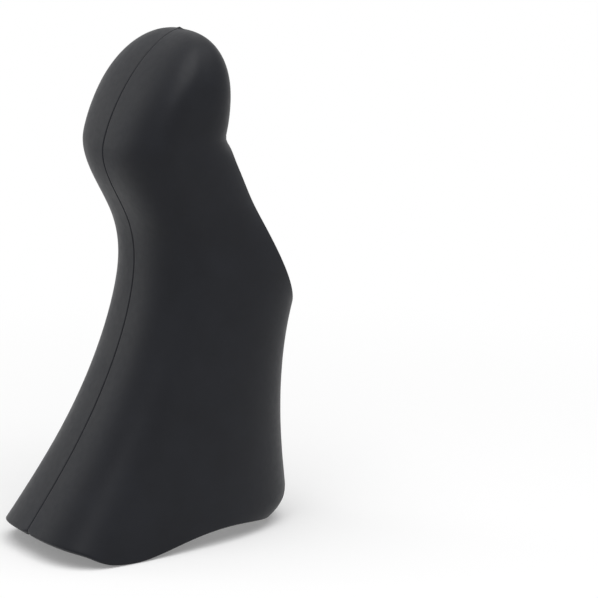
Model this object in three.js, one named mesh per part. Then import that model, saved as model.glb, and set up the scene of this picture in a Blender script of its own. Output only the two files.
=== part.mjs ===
import * as THREE from 'three';

// Brake lever hood, the moulded rubber cover of a road brake lever's body.
// Millimetres. +Z runs from the rear rim up to the crown of the horn, -X is
// the palm side, +X is the finger side, and the halves mirror in y = 0.

// Overall sizes
const LENGTH = 109.4;
const DEPTH = 64;
const BREADTH = 36.5;
const WALL = 2;

// Outlines in the mirror plane, each station a share of LENGTH and of DEPTH
const PALM = [[0.04, -0.475], [0.2, -0.278], [0.36, -0.13], [0.5, -0.053], [0.64, -0.064]];
const FRONT = [[0.08, 0.507], [0.15, 0.493], [0.31, 0.486], [0.46, 0.529], [0.55, 0.544],
  [0.66, 0.38], [0.76, 0.2815]];

// Breadth, each station a share of LENGTH and of BREADTH
const SIDE = [[0.02, 1], [0.26, 0.838], [0.5, 0.79], [0.68, 0.802]];

// Horn: the three outlines round over from these stations to the crown
const PALM_BULGE = [0.79, -0.152];
const FRONT_BULGE = [0.805, 0.231];
const SIDE_BULGE = [0.86, 0.902];
const CROWN = 0.142;
const HORN_LEAN = 0.34;
const PALM_ROUND = 1.65;
const FRONT_ROUND = 1.8;
const SIDE_ROUND = 2.5;

// Cross-section: how square each half is, where 2 is an ellipse, and how far
// across the depth it is widest, at the rear and at the crown
const PALM_SQUARE = 2.9;
const FINGER_SQUARE_REAR = 2.5;
const FINGER_SQUARE_CROWN = 3.75;
const WIDEST_REAR = 0.22;
const WIDEST_CROWN = 0.44;

// Finger side's inward roll at the rear
const ROLL_DEPTH = 9.8;
const ROLL_HEIGHT = 9.5;

// Rear rim, arched over the handlebar between two side lobes, each station a
// share of DEPTH and of LENGTH
const RIM = [[-0.465, 0.051], [-0.36, 0.0355], [-0.26, 0.016], [-0.175, 0.009], [-0.09, 0.01],
  [0.02, 0.0265], [0.16, 0.038], [0.29, 0.034], [0.4, 0.0245]];
const RIM_ZONE = 10.4;

// Front opening for the lever, from its tip up to the brow under the horn
const TIP = 0.428;
const BROW = 0.794;
const BROW_X = 0.188;
const BROW_FILLET = 7.1;

// Edges and parting line
const EDGE = 0.4;
const GROOVE_WIDTH = 0.7;
const GROOVE_DEPTH = 0.25;

// Mesh rows: heights on the palm line level with the opening's ends
const PALM_AT_TIP = 0.4;
const PALM_AT_BROW = 0.81;

// Mesh density
const HALF_COLUMNS = 18;
const RIM_ROWS = 5;
const LOWER_ROWS = 8;
const OPEN_ROWS = 18;
const HORN_ROWS = 9;
const TRIAL_STEPS = 400;

// Cubic through the stations, free at its start, with a given slope at its end
function curve(stations, endSlope) {
  const t = stations.map((s) => s[0]);
  const v = stations.map((s) => s[1]);
  const n = t.length;
  const upper = new Array(n).fill(0);
  const bend = new Array(n).fill(0);
  for (let i = 1; i < n; i += 1) {
    const before = t[i] - t[i - 1];
    const rise = (v[i] - v[i - 1]) / before;
    const last = i === n - 1;
    const after = last ? 0 : t[i + 1] - t[i];
    const next = last ? endSlope : (v[i + 1] - v[i]) / after;
    if (last && endSlope === null) break;
    const pivot = 2 * (before + after) - before * upper[i - 1];
    upper[i] = after / pivot;
    bend[i] = (6 * (next - rise) - before * bend[i - 1]) / pivot;
  }
  for (let i = n - 2; i > 0; i -= 1) bend[i] -= upper[i] * bend[i + 1];
  return (at) => {
    let k = 0;
    while (k < n - 2 && at > t[k + 1]) k += 1;
    const h = t[k + 1] - t[k];
    const a = (t[k + 1] - at) / h;
    const b = 1 - a;
    const sag = (a ** 3 - a) * bend[k] + (b ** 3 - b) * bend[k + 1];
    return a * v[k] + b * v[k + 1] + (sag * h * h) / 6;
  };
}

const palmCurve = curve([...PALM, PALM_BULGE], HORN_LEAN);
const frontCurve = curve([...FRONT, FRONT_BULGE], HORN_LEAN);
const sideCurve = curve([...SIDE, SIDE_BULGE], 0);
const rimCurve = curve(RIM, null);

// Rounding that falls from 1 at the start to 0 at the crown
function roundOver(share, start, power) {
  const t = Math.min((share - start) / (1 - start), 1);
  return (1 - t ** power) ** (1 / power);
}

// One mid-plane outline, in shares of DEPTH
function outline(share, lower, bulge, power) {
  if (share <= bulge[0]) return lower(share);
  const leanAt = (s) => CROWN + HORN_LEAN * (s - 1);
  return leanAt(share) + (bulge[1] - leanAt(bulge[0])) * roundOver(share, bulge[0], power);
}

// Cross-section at height z: palm and front places, widest place, half breadth
function section(z) {
  const share = z / LENGTH;
  const palm = outline(share, palmCurve, PALM_BULGE, PALM_ROUND);
  const roll = ROLL_DEPTH * Math.max(1 - z / ROLL_HEIGHT, 0) ** 3;
  const front = outline(share, frontCurve, FRONT_BULGE, FRONT_ROUND) - roll / DEPTH;
  const across = WIDEST_REAR + (WIDEST_CROWN - WIDEST_REAR) * share;
  const side = share <= SIDE_BULGE[0]
    ? sideCurve(share)
    : SIDE_BULGE[1] * roundOver(share, SIDE_BULGE[0], SIDE_ROUND);
  return {
    palm: palm * DEPTH,
    front: front * DEPTH,
    widest: (palm + across * (front - palm)) * DEPTH,
    half: (side * BREADTH) / 2,
    square: FINGER_SQUARE_REAR + (FINGER_SQUARE_CROWN - FINGER_SQUARE_REAR) * share,
  };
}

// Point of the section at an angle: 0 on the palm line, PI on the front line
function sectionPoint(cut, z, angle) {
  const c = Math.cos(angle);
  const s = Math.sin(angle);
  const power = c > 0 ? PALM_SQUARE : cut.square;
  const reach = c > 0 ? cut.widest - cut.palm : cut.front - cut.widest;
  const size = (Math.abs(c) ** power + Math.abs(s) ** power) ** (1 / power);
  return new THREE.Vector3(cut.widest - (reach * c) / size, (-cut.half * s) / size, z);
}

// Outward normal of the outer surface at one of its points
function outward(p) {
  const field = (x, y, z) => {
    const cut = section(z);
    const palmHalf = x < cut.widest;
    const power = palmHalf ? PALM_SQUARE : cut.square;
    const reach = palmHalf ? cut.widest - cut.palm : cut.front - cut.widest;
    return Math.abs((x - cut.widest) / reach) ** power + Math.abs(y / cut.half) ** power;
  };
  const h = 0.002;
  return new THREE.Vector3(
    field(p.x + h, p.y, p.z) - field(p.x - h, p.y, p.z),
    field(p.x, p.y + h, p.z) - field(p.x, p.y - h, p.z),
    2 * (field(p.x, p.y, p.z) - field(p.x, p.y, p.z - h)),
  ).normalize();
}

// Where the opening's edge runs in side view, at a height between tip and brow
function openingX(z) {
  const share = z / LENGTH;
  const tipX = section(TIP * LENGTH).front;
  const browX = BROW_X * DEPTH;
  const line = tipX + ((browX - tipX) * (share - TIP)) / (BROW - TIP);
  const fillet = Math.max(1 - (BROW * LENGTH - z) / BROW_FILLET, 0) ** 3;
  return line + fillet * (section(BROW * LENGTH).front - browX);
}

// Angle at which the section meets the opening's edge
function edgeAngle(z) {
  const cut = section(z);
  const edge = openingX(z);
  let low = Math.PI / 2;
  let high = Math.PI;
  for (let i = 0; i < 50; i += 1) {
    const mid = (low + high) / 2;
    if (sectionPoint(cut, z, mid).x < edge) low = mid;
    else high = mid;
  }
  return low;
}

// Picks places at even distances along a run of points, each a share of the
// way through the run; wanted holds distances, or null for even steps
function stepAlong(points, wanted) {
  const run = [0];
  points.slice(1).forEach((p, i) => run.push(run[i] + p.distanceTo(points[i])));
  const whole = run[run.length - 1];
  return wanted(whole).map((length) => {
    let i = 1;
    while (i < run.length - 1 && run[i] < length) i += 1;
    return (i - 1 + (length - run[i - 1]) / (run[i] - run[i - 1])) / (run.length - 1);
  });
}

// Half a row: from height palmZ on the palm line, over the side, to an end
// angle at height endZ, with a column close to each end for the parting line
function halfRow(palmZ, endZ, end) {
  const at = (share) => {
    const z = palmZ + (endZ - palmZ) * share * share * (3 - 2 * share);
    return sectionPoint(section(z), z, end * share);
  };
  const fine = Array.from({ length: TRIAL_STEPS + 1 }, (_, i) => at(i / TRIAL_STEPS));
  const side = GROOVE_WIDTH / 2;
  const spread = (whole) => {
    const inner = Array.from({ length: HALF_COLUMNS - 1 }, (_, i) => i + 1);
    return [0, side, ...inner.map((i) => (whole * i) / HALF_COLUMNS), whole - side, whole];
  };
  return stepAlong(fine, spread).map((share) => ({ share, point: at(share) }));
}

// Heights and angles of the opening's edge, evenly spaced from tip to brow
function openingSteps() {
  const tip = TIP * LENGTH;
  const brow = BROW * LENGTH;
  const heightAt = (share) => tip + ((brow - tip) * (1 - Math.cos(Math.PI * share))) / 2;
  const fine = Array.from({ length: TRIAL_STEPS + 1 }, (_, i) => {
    const z = heightAt(i / TRIAL_STEPS);
    return sectionPoint(section(z), z, edgeAngle(z));
  });
  const spread = (whole) =>
    Array.from({ length: OPEN_ROWS + 1 }, (_, i) => (whole * i) / OPEN_ROWS);
  return stepAlong(fine, spread).map((share) => {
    const z = heightAt(share);
    return { z, angle: edgeAngle(z) };
  });
}

// Rows of outer points, from the rear rim up, each from the far side's end
// over the palm line to the near side's end
function outerRows() {
  const rows = [];
  const add = (half, open) => {
    const far = half.slice(1).reverse();
    rows.push({ open, points: [...far.map((p) => p.clone().setY(-p.y)), ...half] });
  };
  const zoneTop = RIM_ZONE;
  const rimSection = section(RIM[0][1] * LENGTH);
  const zone = halfRow(zoneTop, zoneTop, Math.PI);
  for (let i = 0; i < RIM_ROWS; i += 1) {
    const half = zone.map(({ share }) => {
      const angle = Math.PI * share;
      const foot = sectionPoint(rimSection, 0, angle);
      const low = rimCurve(foot.x / DEPTH) * LENGTH;
      const z = low + ((zoneTop - low) * i) / RIM_ROWS;
      return sectionPoint(section(z), z, angle);
    });
    add(half, false);
  }
  const palmTip = PALM_AT_TIP * LENGTH;
  const palmBrow = PALM_AT_BROW * LENGTH;
  const points = (palmZ, endZ, end) => halfRow(palmZ, endZ, end).map(({ point }) => point);
  for (let i = 0; i < LOWER_ROWS; i += 1) {
    const palmZ = zoneTop + ((palmTip - zoneTop) * i) / LOWER_ROWS;
    const endZ = zoneTop + ((TIP * LENGTH - zoneTop) * i) / LOWER_ROWS;
    add(points(palmZ, endZ, Math.PI), false);
  }
  openingSteps().forEach(({ z, angle }, i) => {
    const palmZ = palmTip + ((palmBrow - palmTip) * i) / OPEN_ROWS;
    const closed = i === 0 || i === OPEN_ROWS;
    add(points(palmZ, z, closed ? Math.PI : angle), !closed);
  });
  for (let i = 1; i < HORN_ROWS; i += 1) {
    const share = Math.sin((Math.PI / 2) * (i / HORN_ROWS));
    const palmZ = palmBrow + (LENGTH - palmBrow) * share;
    const endZ = BROW * LENGTH + (1 - BROW) * LENGTH * share;
    add(points(palmZ, endZ, Math.PI), false);
  }
  return rows;
}

function hoodGeometry() {
  const rows = outerRows();
  const across = rows[0].points.length;
  const middle = (across - 1) / 2;
  const spots = [];
  const place = (p) => spots.push(p) - 1;

  // Outer and inner skins
  const outer = [];
  const inner = [];
  const normals = [];
  rows.forEach((row) => {
    const out = [];
    const inn = [];
    const facing = [];
    row.points.forEach((p, c) => {
      if (c === across - 1 && !row.open) {
        out.push(out[0]);
        inn.push(inn[0]);
        facing.push(facing[0]);
        return;
      }
      const normal = outward(p);
      facing.push(normal);
      out.push(place(p.clone()));
      inn.push(place(p.clone().addScaledVector(normal, -WALL)));
    });
    outer.push(out);
    inner.push(inn);
    normals.push(facing);
  });

  // Boundary loops as [row, column] steps: the rear rim and the front opening
  const rim = [];
  for (let c = 0; c < across - 1; c += 1) rim.push([0, c]);
  const firstOpen = rows.findIndex((row) => row.open);
  const lastOpen = rows.length - 1 - [...rows].reverse().findIndex((row) => row.open);
  const opening = [[firstOpen - 1, 0]];
  for (let r = firstOpen; r <= lastOpen; r += 1) opening.push([r, across - 1]);
  opening.push([lastOpen + 1, 0]);
  for (let r = lastOpen; r >= firstOpen; r -= 1) opening.push([r, 0]);

  // Parting line, a shallow groove along both middle columns
  const onLoop = new Set(opening.map(([r, c]) => outer[r][c]));
  rows.forEach((row, r) => {
    const sink = (c) => spots[outer[r][c]].addScaledVector(normals[r][c], -GROOVE_DEPTH);
    sink(middle);
    if (!row.open && !onLoop.has(outer[r][0])) sink(0);
  });

  const faces = [];
  const quad = (a, b, c, d) => {
    const short = spots[a].distanceTo(spots[c]) <= spots[b].distanceTo(spots[d]);
    if (short) faces.push(a, b, c, a, c, d);
    else faces.push(a, b, d, b, c, d);
  };

  // Edges: a lip with bevelled corners stands EDGE past both skins and joins them
  const lip = (loop) => {
    const count = loop.length;
    const raw = loop.map(([r, c]) => spots[outer[r][c]].clone());
    const strips = loop.map(([r, c], i) => {
      const normal = normals[r][c];
      const along = raw[(i + 1) % count].clone().sub(raw[(i + count - 1) % count]);
      const away = along.cross(normal).normalize();
      const skin = spots[outer[r][c]];
      const lining = spots[inner[r][c]];
      const step = away.multiplyScalar(EDGE);
      const first = place(skin.clone().add(step).addScaledVector(normal, -EDGE));
      const second = place(lining.clone().add(step).addScaledVector(normal, EDGE));
      return [outer[r][c], first, second, inner[r][c]];
    });
    strips.forEach((strip, i) => {
      const next = strips[(i + 1) % count];
      for (let k = 0; k < 3; k += 1) quad(strip[k], strip[k + 1], next[k + 1], next[k]);
    });
  };
  lip(rim);
  lip(opening);

  for (let r = 0; r < rows.length - 1; r += 1) {
    for (let c = 0; c < across - 1; c += 1) {
      quad(outer[r][c], outer[r][c + 1], outer[r + 1][c + 1], outer[r + 1][c]);
      quad(inner[r][c], inner[r + 1][c], inner[r + 1][c + 1], inner[r][c + 1]);
    }
  }
  const crown = place(new THREE.Vector3(CROWN * DEPTH, 0, LENGTH));
  const vault = place(new THREE.Vector3(CROWN * DEPTH, 0, LENGTH - WALL));
  const top = rows.length - 1;
  for (let c = 0; c < across - 1; c += 1) {
    faces.push(outer[top][c], outer[top][c + 1], crown);
    faces.push(inner[top][c], vault, inner[top][c + 1]);
  }

  const geometry = new THREE.BufferGeometry();
  const flat = spots.flatMap((p) => [p.x, p.y, p.z]);
  geometry.setAttribute('position', new THREE.Float32BufferAttribute(flat, 3));
  geometry.setIndex(faces);

  // Stands on its lobes, centred over the origin
  geometry.computeBoundingBox();
  const box = geometry.boundingBox;
  geometry.translate(-(box.min.x + box.max.x) / 2, 0, -box.min.z);
  geometry.computeVertexNormals();
  return geometry;
}

const rubber = new THREE.MeshStandardMaterial({ color: '#1b1c1e', roughness: 0.62, metalness: 0 });
rubber.name = 'black_rubber';

const hood = new THREE.Mesh(hoodGeometry(), rubber);
hood.name = 'hood_cover';

const part = new THREE.Group();
part.name = 'brake_lever_hood';
part.add(hood);

export default part;
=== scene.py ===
"""Brake lever hood: the moulded rubber cover of a road brake lever's body, and its studio stage.

Metres. +Z runs from the rear rim up to the crown of the horn, -X is the palm side,
+X is the finger side, and the halves mirror in y = 0.
"""

import math

import bpy
import numpy as np
from bpy.props import FloatProperty, FloatVectorProperty, PointerProperty
from bpy.types import Operator, Panel, PropertyGroup
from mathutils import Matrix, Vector


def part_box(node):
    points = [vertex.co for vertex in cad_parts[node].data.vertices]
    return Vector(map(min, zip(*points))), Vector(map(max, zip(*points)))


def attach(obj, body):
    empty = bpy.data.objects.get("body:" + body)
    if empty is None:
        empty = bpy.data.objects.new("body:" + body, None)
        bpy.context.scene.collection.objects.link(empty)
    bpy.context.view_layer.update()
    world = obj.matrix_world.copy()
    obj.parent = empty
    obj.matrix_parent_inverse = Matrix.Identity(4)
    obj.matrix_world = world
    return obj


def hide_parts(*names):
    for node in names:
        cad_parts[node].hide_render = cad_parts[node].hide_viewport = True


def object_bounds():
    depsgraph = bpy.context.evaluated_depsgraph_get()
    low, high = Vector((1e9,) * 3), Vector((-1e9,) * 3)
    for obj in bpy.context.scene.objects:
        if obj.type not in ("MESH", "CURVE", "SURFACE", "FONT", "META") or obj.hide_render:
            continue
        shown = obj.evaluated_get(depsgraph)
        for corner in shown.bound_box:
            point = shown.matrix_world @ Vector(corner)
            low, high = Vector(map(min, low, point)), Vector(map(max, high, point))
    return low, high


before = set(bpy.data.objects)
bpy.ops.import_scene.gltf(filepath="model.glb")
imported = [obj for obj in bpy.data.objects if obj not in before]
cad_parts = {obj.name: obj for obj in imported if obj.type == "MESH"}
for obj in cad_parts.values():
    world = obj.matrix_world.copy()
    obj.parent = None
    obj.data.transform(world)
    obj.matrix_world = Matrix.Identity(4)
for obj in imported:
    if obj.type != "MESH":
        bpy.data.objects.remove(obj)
SOLID_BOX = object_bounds()

bl_info = {
    "name": "Brake lever hood",
    "version": (1, 0, 0),
    "blender": (4, 5, 0),
    "location": "View3D > Sidebar > Hood",
    "description": "Builds the rubber cover of a road brake lever and its studio stage",
    "category": "Add Mesh",
}

NODE = "hood_cover"
BODY = "root"
MM = 0.001

# Outlines in the mirror plane, each station a share of the length and of the depth
PALM = [(0.04, -0.475), (0.2, -0.278), (0.36, -0.13), (0.5, -0.053), (0.64, -0.064)]
FRONT = [(0.08, 0.507), (0.15, 0.493), (0.31, 0.486), (0.46, 0.529), (0.55, 0.544),
         (0.66, 0.38), (0.76, 0.2815)]

# Breadth, each station a share of the length and of the breadth
SIDE = [(0.02, 1), (0.26, 0.838), (0.5, 0.79), (0.68, 0.802)]

# Horn: the three outlines round over from these stations to the crown
PALM_BULGE = (0.79, -0.152)
FRONT_BULGE = (0.805, 0.231)
SIDE_BULGE = (0.86, 0.902)
CROWN = 0.142
HORN_LEAN = 0.34
PALM_ROUND = 1.65
FRONT_ROUND = 1.8
SIDE_ROUND = 2.5

# Cross-section: how square each half is, where 2 is an ellipse, and how far
# across the depth it is widest, at the rear and at the crown
PALM_SQUARE = 2.9
FINGER_SQUARE_REAR = 2.5
FINGER_SQUARE_CROWN = 3.75
WIDEST_REAR = 0.22
WIDEST_CROWN = 0.44

# Finger side's inward roll at the rear
ROLL_DEPTH = 9.8 * MM
ROLL_HEIGHT = 9.5 * MM

# Rear rim, arched between two side lobes, each station a share of depth and of length
RIM = [(-0.465, 0.051), (-0.36, 0.0355), (-0.26, 0.016), (-0.175, 0.009), (-0.09, 0.01),
       (0.02, 0.0265), (0.16, 0.038), (0.29, 0.034), (0.4, 0.0245)]
RIM_ZONE = 10.4 * MM

# Front opening for the lever, from its tip up to the brow under the horn
TIP = 0.428
BROW = 0.794
BROW_X = 0.188
BROW_FILLET = 7.1 * MM
PALM_AT_TIP = 0.4
PALM_AT_BROW = 0.81

# Mesh density: columns in half a row, rows in each zone, steps round a lip's corner
HALF_COLUMNS = 72
RIM_ROWS = 14
LOWER_ROWS = 44
OPEN_ROWS = 84
HORN_ROWS = 40
LIP_STEPS = 6

# Columns next to the parting line, in half widths of its groove
GROOVE_STEPS = (0, 0.25, 0.5, 0.75, 1, 1.6)

# Measuring: steps along a row and along the opening's edge, halvings that find a
# section's angle at that edge, and the small step that gives a normal
ROW_STEPS = 600
EDGE_STEPS = 1200
EDGE_HALVINGS = 50
NORMAL_STEP = 0.002 * MM

# Nick in the rim, in half widths of the groove, and the nub of flash on the crown
NOTCH_SPREAD = 2.2
FLASH_ROWS = 12
FLASH_SPREAD = (0.45 * MM, 0.32 * MM)

# Rubber: shine, how far its roughness strays from the mean, pores measured in grains,
# and how much coarser the lining's grain is
RUBBER_IOR = 1.5
RUBBER_SHINE = 0.2
ROUGHNESS_STRAY = 0.05
PORE_GRAINS = 5
PORE_DEPTH = 1.5
LINING_GRAIN = 1.8

# Floor: its round outline, and where its shade gives way to plain white
FLOOR_RADIUS = 4.0
FLOOR_SIDES = 96
FADE_START = 60 * MM
FADE_END = 240 * MM
WHITE_AT_START = 0.22

# Light panels: width, height and place
TOP_PANEL = (1.1, 1.1, (-0.1, -0.3, 0.95))
LEFT_PANEL = (0.4, 0.8, (-0.62, 0.85, 0.35))

# Camera: width of its sensor in millimetres, nearest and farthest that it sees
SENSOR_WIDTH = 36
NEAREST = 0.01
FARTHEST = 20


class HoodSizes(PropertyGroup):
    """Driving sizes of the cover"""

    length: FloatProperty(
        name="Length", description="Height of the crown above the rear rim's zero line",
        default=109.4 * MM, min=0.05, unit="LENGTH")
    depth: FloatProperty(
        name="Depth", description="Palm side to finger side, the scale of the side outline",
        default=64 * MM, min=0.02, unit="LENGTH")
    breadth: FloatProperty(
        name="Breadth", description="Side to side at the rear",
        default=36.5 * MM, min=0.02, unit="LENGTH")
    wall: FloatProperty(
        name="Wall", description="Thickness of the rubber",
        default=2 * MM, min=0.001, unit="LENGTH")
    lip: FloatProperty(
        name="Lip radius", description="Rounding of both corners of each edge",
        default=0.45 * MM, min=0.0001, unit="LENGTH")
    groove: FloatProperty(
        name="Groove half width", description="Parting line's half width",
        default=0.28 * MM, min=0.00005, unit="LENGTH")
    groove_depth: FloatProperty(
        name="Groove depth", description="Parting line's depth",
        default=0.25 * MM, min=0, unit="LENGTH")
    notch: FloatProperty(
        name="Notch", description="Nick in the rim where the parting line meets it",
        default=0.5 * MM, min=0, unit="LENGTH")
    flash: FloatProperty(
        name="Flash", description="Height of the nub of flash left on the crown",
        default=0.35 * MM, min=0, unit="LENGTH")


class HoodRubber(PropertyGroup):
    """Finish of the moulded rubber"""

    colour: FloatVectorProperty(
        name="Colour", description="Colour of the black rubber", subtype="COLOR",
        default=(0.0054, 0.0061, 0.0088), min=0, max=1)
    bloom: FloatVectorProperty(
        name="Bloom", description="Colour where the rubber is faintly hazed", subtype="COLOR",
        default=(0.0077, 0.0086, 0.012), min=0, max=1)
    roughness: FloatProperty(
        name="Roughness", description="Mean roughness of the outside",
        default=0.46, min=0, max=1, subtype="FACTOR")
    lining_roughness: FloatProperty(
        name="Lining roughness", description="Mean roughness of the inside",
        default=0.66, min=0, max=1, subtype="FACTOR")
    grain: FloatProperty(
        name="Grain", description="Size of the mould's fine grain",
        default=0.28 * MM, min=0.00005, unit="LENGTH")
    grain_depth: FloatProperty(
        name="Grain depth", description="Depth of the mould's fine grain",
        default=0.012 * MM, min=0, unit="LENGTH")
    cloud: FloatProperty(
        name="Cloud", description="Size of the faint cloudy patches",
        default=11 * MM, min=0.001, unit="LENGTH")


class HoodStudio(PropertyGroup):
    """Camera, floor and lights"""

    azimuth: FloatProperty(
        name="Azimuth", description="Camera's turn about the hood, from the -Y side",
        default=math.radians(-33), subtype="ANGLE", unit="ROTATION")
    elevation: FloatProperty(
        name="Elevation", description="Camera's rise above the horizon",
        default=math.radians(12.5), subtype="ANGLE", unit="ROTATION")
    distance: FloatProperty(
        name="Distance", description="Camera to the point that it aims at",
        default=650 * MM, min=0.1, unit="LENGTH")
    lens: FloatProperty(
        name="Lens", description="Focal length", default=177.5, min=10, unit="CAMERA")
    aim: FloatVectorProperty(
        name="Aim", description="Point at the middle of the picture", subtype="TRANSLATION",
        default=(37.35 * MM, 0.05 * MM, 47.03 * MM), unit="LENGTH")
    floor: FloatVectorProperty(
        name="Floor colour", description="Colour of the floor", subtype="COLOR",
        default=(0.97, 0.97, 0.97), min=0, max=1)
    room: FloatProperty(
        name="Room light", description="Strength of the even light from all round",
        default=0.36, min=0)
    top: FloatProperty(
        name="Top light", description="Power of the panel overhead", default=9.8, min=0,
        unit="POWER")
    left: FloatProperty(
        name="Left light", description="Power of the panel behind the palm side",
        default=0.95, min=0, unit="POWER")


def curve(stations, end_slope=None):
    """Cubic through the stations, free at its start, with a given slope or free at its end."""
    t, v = np.array(stations, float).T
    gap = np.diff(t)
    rise = np.diff(v) / gap
    system = np.eye(len(t))
    target = np.zeros(len(t))
    for i in range(1, len(t) - 1):
        system[i, i - 1:i + 2] = gap[i - 1], 2 * (gap[i - 1] + gap[i]), gap[i]
        target[i] = 6 * (rise[i] - rise[i - 1])
    if end_slope is not None:
        system[-1, -2:] = gap[-1], 2 * gap[-1]
        target[-1] = 6 * (end_slope - rise[-1])
    bend = np.linalg.solve(system, target)

    def at(share):
        k = np.clip(np.searchsorted(t, share) - 1, 0, len(t) - 2)
        a = (t[k + 1] - share) / gap[k]
        b = 1 - a
        sag = (a ** 3 - a) * bend[k] + (b ** 3 - b) * bend[k + 1]
        return a * v[k] + b * v[k + 1] + sag * gap[k] ** 2 / 6

    return at


def round_over(share, start, power):
    """Rounding that falls from 1 at the start to 0 at the crown."""
    t = np.clip((share - start) / (1 - start), 0, 1)
    return (1 - t ** power) ** (1 / power)


def outline(share, lower, bulge, power):
    """One mid-plane outline, in shares of the depth."""
    lean = CROWN + HORN_LEAN * (share - 1)
    lean_at_bulge = CROWN + HORN_LEAN * (bulge[0] - 1)
    upper = lean + (bulge[1] - lean_at_bulge) * round_over(share, bulge[0], power)
    return np.where(share <= bulge[0], lower(share), upper)


def run_along(points):
    """Distance covered at each of a run of points."""
    steps = np.linalg.norm(np.diff(points, axis=0), axis=1)
    return np.concatenate(([0], np.cumsum(steps)))


class Shell:
    """Outer surface of the cover, from its driving sizes."""

    def __init__(self, sizes):
        self.length = sizes.length
        self.depth = sizes.depth
        self.breadth = sizes.breadth
        self.groove = sizes.groove
        self.notch = sizes.notch
        self.palm = curve([*PALM, PALM_BULGE], HORN_LEAN)
        self.front = curve([*FRONT, FRONT_BULGE], HORN_LEAN)
        self.side = curve([*SIDE, SIDE_BULGE], 0)
        self.rim = curve(RIM)

    def section(self, z):
        """Palm, front and widest places, half breadth and the finger side's squareness."""
        share = z / self.length
        palm = outline(share, self.palm, PALM_BULGE, PALM_ROUND) * self.depth
        roll = ROLL_DEPTH * np.clip(1 - z / ROLL_HEIGHT, 0, None) ** 3
        front = outline(share, self.front, FRONT_BULGE, FRONT_ROUND) * self.depth - roll
        across = WIDEST_REAR + (WIDEST_CROWN - WIDEST_REAR) * share
        widest = palm + across * (front - palm)
        horn = SIDE_BULGE[1] * round_over(share, SIDE_BULGE[0], SIDE_ROUND)
        side = np.where(share <= SIDE_BULGE[0], self.side(share), horn)
        half = side * self.breadth / 2
        square = FINGER_SQUARE_REAR + (FINGER_SQUARE_CROWN - FINGER_SQUARE_REAR) * share
        return palm, front, widest, half, square

    def point(self, z, angle):
        """Points of the surface: angle 0 is the palm line and pi the front line."""
        palm, front, widest, half, square = self.section(z)
        c, s = np.cos(angle), np.sin(angle)
        power = np.where(c > 0, PALM_SQUARE, square)
        reach = np.where(c > 0, widest - palm, front - widest)
        size = (np.abs(c) ** power + np.abs(s) ** power) ** (1 / power)
        x = widest - reach * c / size
        y = -half * s / size
        return np.stack((x, y, z * np.ones_like(x)), axis=-1)

    def normal(self, points):
        """Outward normals at points of the surface."""
        def field(x, y, z):
            palm, front, widest, half, square = self.section(z)
            on_palm = x < widest
            power = np.where(on_palm, PALM_SQUARE, square)
            reach = np.where(on_palm, widest - palm, front - widest)
            return np.abs((x - widest) / reach) ** power + np.abs(y / half) ** power

        x, y, z = points[..., 0], points[..., 1], points[..., 2]
        h = NORMAL_STEP
        slope = np.stack((
            field(x + h, y, z) - field(x - h, y, z),
            field(x, y + h, z) - field(x, y - h, z),
            2 * (field(x, y, z) - field(x, y, z - h)),
        ), axis=-1)
        return slope / np.linalg.norm(slope, axis=-1, keepdims=True)

    def opening_x(self, z):
        """Where the opening's edge runs in side view, between tip and brow."""
        share = z / self.length
        tip_x = self.section(TIP * self.length)[1]
        brow_x = BROW_X * self.depth
        line = tip_x + (brow_x - tip_x) * (share - TIP) / (BROW - TIP)
        fillet = np.clip(1 - (BROW * self.length - z) / BROW_FILLET, 0, None) ** 3
        return line + fillet * (self.section(BROW * self.length)[1] - brow_x)

    def edge_angle(self, z):
        """Angle at which each section meets the opening's edge, by halving."""
        low = np.full_like(z, math.pi / 2)
        high = np.full_like(z, math.pi)
        edge = self.opening_x(z)
        for _ in range(EDGE_HALVINGS):
            mid = (low + high) / 2
            short = self.point(z, mid)[..., 0] < edge
            low = np.where(short, mid, low)
            high = np.where(short, high, mid)
        return low

    def spread(self, whole):
        """Distances of a half row's columns: close at both ends, even between."""
        near = self.groove * np.array(GROOVE_STEPS)
        even = np.linspace(near[-1], whole - near[-1], HALF_COLUMNS)
        return np.concatenate((near[:-1], even, whole - near[-2::-1]))

    def half_row(self, palm_z, end_z, end_angle):
        """Heights and angles from the palm line, over the side, to the row's end."""
        def place(share):
            return palm_z + (end_z - palm_z) * share * share * (3 - 2 * share), end_angle * share

        fine = np.linspace(0, 1, ROW_STEPS)
        run = run_along(self.point(*place(fine)))
        return place(np.interp(self.spread(run[-1]), run, fine))

    def opening_steps(self):
        """Heights and angles of the opening's edge, evenly spaced from tip to brow."""
        tip, brow = TIP * self.length, BROW * self.length
        share = np.linspace(0, 1, EDGE_STEPS)
        z = tip + (brow - tip) * (1 - np.cos(math.pi * share)) / 2
        angle = self.edge_angle(z)
        run = run_along(self.point(z, angle))
        even = np.interp(np.linspace(0, run[-1], OPEN_ROWS + 1), run, z)
        return even, self.edge_angle(even)

    def rim_rows(self):
        """Rows between the arched rear rim and the height where rows run level."""
        _, angle = self.half_row(RIM_ZONE, RIM_ZONE, math.pi)
        foot = self.point(np.full_like(angle, RIM[0][1] * self.length), angle)
        run = run_along(self.point(np.full_like(angle, RIM_ZONE), angle))
        low = self.rim(foot[:, 0] / self.depth) * self.length
        for line in (0, run[-1]):
            low += self.notch * np.exp(-((run - line) / (NOTCH_SPREAD * self.groove)) ** 2)
        return [(low + (RIM_ZONE - low) * i / RIM_ROWS, angle) for i in range(RIM_ROWS)]

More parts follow.
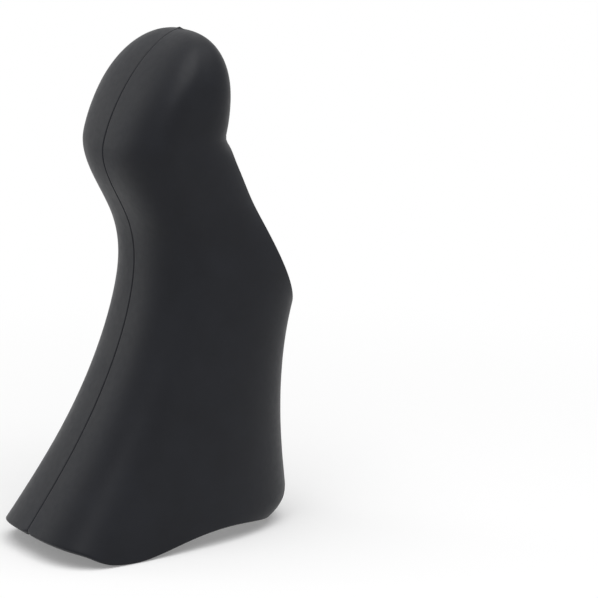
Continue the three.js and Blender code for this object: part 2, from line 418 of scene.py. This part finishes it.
    def rows(self):
        """Half rows from the rear rim up, each with whether it ends at the opening."""
        tip, brow = TIP * self.length, BROW * self.length
        palm_tip, palm_brow = PALM_AT_TIP * self.length, PALM_AT_BROW * self.length
        found = [(row, False) for row in self.rim_rows()]
        for share in np.arange(LOWER_ROWS) / LOWER_ROWS:
            palm_z = RIM_ZONE + (palm_tip - RIM_ZONE) * share
            end_z = RIM_ZONE + (tip - RIM_ZONE) * share
            found.append((self.half_row(palm_z, end_z, math.pi), False))
        for i, (z, angle) in enumerate(zip(*self.opening_steps())):
            open_row = 0 < i < OPEN_ROWS
            palm_z = palm_tip + (palm_brow - palm_tip) * i / OPEN_ROWS
            found.append((self.half_row(palm_z, z, angle if open_row else math.pi), open_row))
        for i in range(1, HORN_ROWS):
            share = math.sin(math.pi / 2 * i / HORN_ROWS)
            palm_z = palm_brow + (self.length - palm_brow) * share
            end_z = brow + (self.length - brow) * share
            found.append((self.half_row(palm_z, end_z, math.pi), False))
        return found


class Skin:
    """Growing lists of a mesh's points and faces."""

    def __init__(self):
        self.points = []
        self.faces = []
        self.lining = []

    def place(self, point):
        """Adds a point and gives its number."""
        self.points.append(np.array(point, float))
        return len(self.points) - 1

    def face(self, *corners, lining=False):
        """Adds a face, of the outside or of the lining."""
        self.faces.append(corners)
        self.lining.append(lining)


def parting_groove(sizes, points, ends_closed):
    """How far each point of a row sinks for the parting line on its middle and its ends."""
    run = run_along(points)
    middle = run[len(run) // 2]
    lines = [middle] + ([0, run[-1]] if ends_closed else [])
    sink = np.zeros(len(points))
    for line in lines:
        share = np.clip(np.abs(run - line) / sizes.groove, 0, 1)
        sink = np.maximum(sink, sizes.groove_depth * (1 + np.cos(math.pi * share)) / 2)
    return sink


def add_lip(skin, loop, raw, normals, sizes):
    """Rounded edge that stands proud of both skins and joins them along a loop."""
    count = len(loop)
    turns = np.linspace(0, math.pi / 2, LIP_STEPS + 1)[1:]
    strips = []
    for i, (outer, inner) in enumerate(loop):
        normal = normals[i]
        along = raw[(i + 1) % count] - raw[i - 1]
        away = np.cross(along, normal)
        away /= np.linalg.norm(away)
        strip = [outer]
        for corner, facing, corner_turns in ((outer, -1, turns), (inner, 1, turns[::-1])):
            for turn in corner_turns:
                drop = sizes.lip * (1 - math.cos(turn)) * facing
                step = sizes.lip * math.sin(turn)
                strip.append(skin.place(skin.points[corner] + away * step + normal * drop))
        strip.append(inner)
        strips.append(strip)
    for i, strip in enumerate(strips):
        after = strips[(i + 1) % count]
        for k in range(len(strip) - 1):
            skin.face(strip[k], strip[k + 1], after[k + 1], after[k])


def cover_skin(sizes):
    """Outer skin, plain lining, rounded lips, parting groove and flash nub, as one surface."""
    shell = Shell(sizes)
    skin = Skin()
    outer, inner, raw_rows, normal_rows, opens = [], [], [], [], []
    for (z, angle), is_open in shell.rows():
        half = shell.point(z, angle)
        far = half[:0:-1] * (1, -1, 1)
        points = np.concatenate((far, half))
        normals = shell.normal(points)
        sink = parting_groove(sizes, points, not is_open)
        sunk = points - normals * sink[:, None]
        lined = points - normals * sizes.wall
        count = len(points) if is_open else len(points) - 1
        out = [skin.place(p) for p in sunk[:count]]
        inn = [skin.place(p) for p in lined[:count]]
        if not is_open:
            out.append(out[0])
            inn.append(inn[0])
        outer.append(out)
        inner.append(inn)
        raw_rows.append(points)
        normal_rows.append(normals)
        opens.append(is_open)

    last = len(outer[0]) - 1
    first_open = opens.index(True)
    last_open = len(opens) - 1 - opens[::-1].index(True)
    rim = [(0, c) for c in range(last)]
    opening = [(first_open - 1, 0)]
    opening += [(r, last) for r in range(first_open, last_open + 1)]
    opening += [(last_open + 1, 0)]
    opening += [(r, 0) for r in range(last_open, first_open - 1, -1)]
    for loop in (rim, opening):
        add_lip(
            skin,
            [(outer[r][c], inner[r][c]) for r, c in loop],
            [raw_rows[r][c] for r, c in loop],
            [normal_rows[r][c] for r, c in loop],
            sizes,
        )

    for r in range(len(outer) - 1):
        for c in range(last):
            skin.face(outer[r][c], outer[r][c + 1], outer[r + 1][c + 1], outer[r + 1][c])
            skin.face(inner[r][c], inner[r + 1][c], inner[r + 1][c + 1], inner[r][c + 1],
                      lining=True)
    crown_at = np.array((CROWN * sizes.depth, 0, sizes.length))
    crown = skin.place(crown_at)
    vault = skin.place(crown_at - (0, 0, sizes.wall))
    for c in range(last):
        skin.face(outer[-1][c], outer[-1][c + 1], crown)
        skin.face(inner[-1][c], vault, inner[-1][c + 1], lining=True)

    # Nub of flash on the crown, where the parting line crosses it
    for row in outer[-FLASH_ROWS:] + [[crown]]:
        for k in set(row):
            away = (skin.points[k] - crown_at)[:2] / FLASH_SPREAD
            skin.points[k][2] += sizes.flash * math.exp(-float(away @ away))
    return skin, crown_at


def rubber_material(name, finish, roughness, grain_share):
    """Matte moulded rubber: fine grain, faint cloudy bloom and uneven roughness."""
    material = bpy.data.materials.new(name)
    material.use_nodes = True
    nodes, links = material.node_tree.nodes, material.node_tree.links
    shader = nodes["Principled BSDF"]
    shader.inputs["Metallic"].default_value = 0
    shader.inputs["IOR"].default_value = RUBBER_IOR
    shader.inputs["Specular IOR Level"].default_value = RUBBER_SHINE
    place = nodes.new("ShaderNodeTexCoord")

    def noise(size, detail, rough):
        """Noise whose features are about as large as the size."""
        node = nodes.new("ShaderNodeTexNoise")
        node.inputs["Scale"].default_value = 1 / size
        node.inputs["Detail"].default_value = detail
        node.inputs["Roughness"].default_value = rough
        links.new(place.outputs["Object"], node.inputs["Vector"])
        return node.outputs["Fac"]

    cloud = noise(finish.cloud, 4, 0.6)
    pore = noise(finish.grain * PORE_GRAINS, 3, 0.55)
    grain = noise(finish.grain, 2, 0.5)

    bloom = nodes.new("ShaderNodeMix")
    bloom.data_type = "RGBA"
    bloom.inputs["A"].default_value = (*finish.colour, 1)
    bloom.inputs["B"].default_value = (*finish.bloom, 1)
    patch = nodes.new("ShaderNodeMapRange")
    patch.inputs["From Min"].default_value = 0.38
    patch.inputs["From Max"].default_value = 0.68
    links.new(cloud, patch.inputs["Value"])
    links.new(patch.outputs["Result"], bloom.inputs["Factor"])
    links.new(bloom.outputs["Result"], shader.inputs["Base Color"])

    mixed = nodes.new("ShaderNodeMath")
    mixed.operation = "ADD"
    links.new(cloud, mixed.inputs[0])
    links.new(pore, mixed.inputs[1])
    uneven = nodes.new("ShaderNodeMapRange")
    uneven.inputs["From Min"].default_value = 0.7
    uneven.inputs["From Max"].default_value = 1.3
    uneven.inputs["To Min"].default_value = roughness - ROUGHNESS_STRAY
    uneven.inputs["To Max"].default_value = roughness + ROUGHNESS_STRAY
    links.new(mixed.outputs["Value"], uneven.inputs["Value"])
    links.new(uneven.outputs["Result"], shader.inputs["Roughness"])

    pores = nodes.new("ShaderNodeBump")
    pores.inputs["Strength"].default_value = 0.5
    pores.inputs["Distance"].default_value = finish.grain_depth * PORE_DEPTH * grain_share
    links.new(pore, pores.inputs["Height"])
    fine = nodes.new("ShaderNodeBump")
    fine.inputs["Strength"].default_value = 0.6
    fine.inputs["Distance"].default_value = finish.grain_depth * grain_share
    links.new(grain, fine.inputs["Height"])
    links.new(pores.outputs["Normal"], fine.inputs["Normal"])
    links.new(fine.outputs["Normal"], shader.inputs["Normal"])
    return material


def camera_mask(nodes, links):
    """1 for rays from the camera, and for those seen in gloss or through glass."""
    path = nodes.new("ShaderNodeLightPath")
    both = nodes.new("ShaderNodeMath")
    both.operation = "MAXIMUM"
    links.new(path.outputs["Is Camera Ray"], both.inputs[0])
    links.new(path.outputs["Is Glossy Ray"], both.inputs[1])
    every = nodes.new("ShaderNodeMath")
    every.operation = "MAXIMUM"
    links.new(both.outputs["Value"], every.inputs[0])
    links.new(path.outputs["Is Transmission Ray"], every.inputs[1])
    return every.outputs["Value"]


def floor_material(colour):
    """Pale floor that takes the hood's shadow and runs out to plain white."""
    material = bpy.data.materials.new("studio_floor")
    material.use_nodes = True
    nodes, links = material.node_tree.nodes, material.node_tree.links
    nodes.clear()
    near = nodes.new("ShaderNodeBsdfDiffuse")
    near.inputs["Color"].default_value = (*colour, 1)
    far = nodes.new("ShaderNodeEmission")
    place = nodes.new("ShaderNodeTexCoord")
    spread = nodes.new("ShaderNodeVectorMath")
    spread.operation = "LENGTH"
    links.new(place.outputs["Object"], spread.inputs[0])
    fade = nodes.new("ShaderNodeMapRange")
    fade.interpolation_type = "SMOOTHSTEP"
    fade.inputs["From Min"].default_value = FADE_START
    fade.inputs["From Max"].default_value = FADE_END
    fade.inputs["To Min"].default_value = WHITE_AT_START
    links.new(spread.outputs["Value"], fade.inputs["Value"])
    seen = nodes.new("ShaderNodeMath")
    seen.operation = "MULTIPLY"
    links.new(fade.outputs["Result"], seen.inputs[0])
    links.new(camera_mask(nodes, links), seen.inputs[1])
    blend = nodes.new("ShaderNodeMixShader")
    links.new(seen.outputs["Value"], blend.inputs["Fac"])
    links.new(near.outputs["BSDF"], blend.inputs[1])
    links.new(far.outputs["Emission"], blend.inputs[2])
    out = nodes.new("ShaderNodeOutputMaterial")
    links.new(blend.outputs["Shader"], out.inputs["Surface"])
    return material


def white_room(strength):
    """World that lights evenly and shows plain white."""
    world = bpy.data.worlds.new("studio_room")
    bpy.context.scene.world = world
    world.use_nodes = True
    nodes, links = world.node_tree.nodes, world.node_tree.links
    nodes.clear()
    light = nodes.new("ShaderNodeBackground")
    light.inputs["Color"].default_value = (1, 1, 1, 1)
    light.inputs["Strength"].default_value = strength
    shown = nodes.new("ShaderNodeBackground")
    shown.inputs["Color"].default_value = (1, 1, 1, 1)
    shown.inputs["Strength"].default_value = 1
    blend = nodes.new("ShaderNodeMixShader")
    links.new(camera_mask(nodes, links), blend.inputs["Fac"])
    links.new(light.outputs["Background"], blend.inputs[1])
    links.new(shown.outputs["Background"], blend.inputs[2])
    out = nodes.new("ShaderNodeOutputWorld")
    links.new(blend.outputs["Shader"], out.inputs["Surface"])


def light_panel(name, power, width, height, at, target):
    """Soft rectangular light panel that faces the target."""
    data = bpy.data.lights.new(name, "AREA")
    data.shape = "RECTANGLE"
    data.size = width
    data.size_y = height
    data.energy = power
    panel = bpy.data.objects.new(name, data)
    bpy.context.collection.objects.link(panel)
    panel.location = at
    panel.rotation_euler = (Vector(target) - Vector(at)).to_track_quat("-Z", "Y").to_euler()
    panel.visible_camera = False


class HOOD_OT_cover(Operator):
    """Builds the rubber cover: skin, lining, lips, parting line and flash"""

    bl_idname = "hood.cover"
    bl_label = "Rubber cover"

    def execute(self, context):
        sizes, finish = context.scene.hood_sizes, context.scene.hood_rubber
        skin, crown_at = cover_skin(sizes)
        points = np.array(skin.points)
        _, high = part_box(NODE)
        points[:, 0] += high.x - points[:, 0].max()
        points[:, 2] += high.z - crown_at[2]

        mesh = bpy.data.meshes.new("rubber_cover")
        mesh.from_pydata(points.tolist(), [], skin.faces)
        if mesh.validate():
            raise RuntimeError("the cover's mesh has faulty faces")
        mesh.polygons.foreach_set("use_smooth", [True] * len(mesh.polygons))
        mesh.materials.append(rubber_material("rubber_outside", finish, finish.roughness, 1))
        mesh.materials.append(
            rubber_material("rubber_lining", finish, finish.lining_roughness, LINING_GRAIN))
        mesh.polygons.foreach_set("material_index", [int(inside) for inside in skin.lining])
        mesh.update()

        cover = bpy.data.objects.new("rubber_cover", mesh)
        context.collection.objects.link(cover)
        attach(cover, BODY)
        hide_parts(NODE)
        return {"FINISHED"}


class HOOD_OT_stage(Operator):
    """Sets the floor, the lights, the white room and the camera"""

    bl_idname = "hood.stage"
    bl_label = "Studio stage"

    def execute(self, context):
        studio = context.scene.hood_studio
        scene = context.scene
        scene.view_settings.view_transform = "Standard"

        disc = bpy.data.meshes.new("studio_floor")
        turns = np.linspace(0, 2 * math.pi, FLOOR_SIDES, endpoint=False)
        edge = [(FLOOR_RADIUS * math.cos(t), FLOOR_RADIUS * math.sin(t), 0) for t in turns]
        disc.from_pydata(edge, [], [tuple(range(len(edge)))])
        disc.materials.append(floor_material(studio.floor))
        floor = bpy.data.objects.new("studio_floor", disc)
        context.collection.objects.link(floor)
        floor.location.z = SOLID_BOX[0].z

        white_room(studio.room)
        middle = (SOLID_BOX[0] + SOLID_BOX[1]) / 2
        light_panel("top_panel", studio.top, *TOP_PANEL, middle)
        light_panel("left_panel", studio.left, *LEFT_PANEL, middle)

        lens = bpy.data.cameras.new("picture_camera")
        lens.sensor_fit = "HORIZONTAL"
        lens.sensor_width = SENSOR_WIDTH
        lens.lens = studio.lens
        lens.clip_start = NEAREST
        lens.clip_end = FARTHEST
        camera = bpy.data.objects.new("picture_camera", lens)
        context.collection.objects.link(camera)
        rise = math.cos(studio.elevation)
        back = Vector((math.sin(studio.azimuth) * rise, -math.cos(studio.azimuth) * rise,
                       math.sin(studio.elevation)))
        camera.location = Vector(studio.aim) + back * studio.distance
        camera.rotation_euler = (-back).to_track_quat("-Z", "Y").to_euler()
        scene.camera = camera
        return {"FINISHED"}


class HOOD_PT_panel(Panel):
    """Sidebar panel that lists the hood's sizes and steps"""

    bl_idname = "HOOD_PT_panel"
    bl_label = "Brake lever hood"
    bl_space_type = "VIEW_3D"
    bl_region_type = "UI"
    bl_category = "Hood"

    def draw(self, context):
        scene = context.scene
        for heading, group, operator in (
                ("Cover", scene.hood_sizes, HOOD_OT_cover),
                ("Rubber", scene.hood_rubber, None),
                ("Stage", scene.hood_studio, HOOD_OT_stage)):
            box = self.layout.box()
            box.label(text=heading)
            for name in type(group).__annotations__:
                box.prop(group, name)
            if operator:
                box.operator(operator.bl_idname)


CLASSES = (HoodSizes, HoodRubber, HoodStudio, HOOD_OT_cover, HOOD_OT_stage, HOOD_PT_panel)


def register():
    for cls in CLASSES:
        bpy.utils.register_class(cls)
    bpy.types.Scene.hood_sizes = PointerProperty(type=HoodSizes)
    bpy.types.Scene.hood_rubber = PointerProperty(type=HoodRubber)
    bpy.types.Scene.hood_studio = PointerProperty(type=HoodStudio)


def unregister():
    del bpy.types.Scene.hood_studio
    del bpy.types.Scene.hood_rubber
    del bpy.types.Scene.hood_sizes
    for cls in reversed(CLASSES):
        bpy.utils.unregister_class(cls)


def main():
    register()
    bpy.ops.hood.cover()
    bpy.ops.hood.stage()


if __name__ == "__main__":
    main()
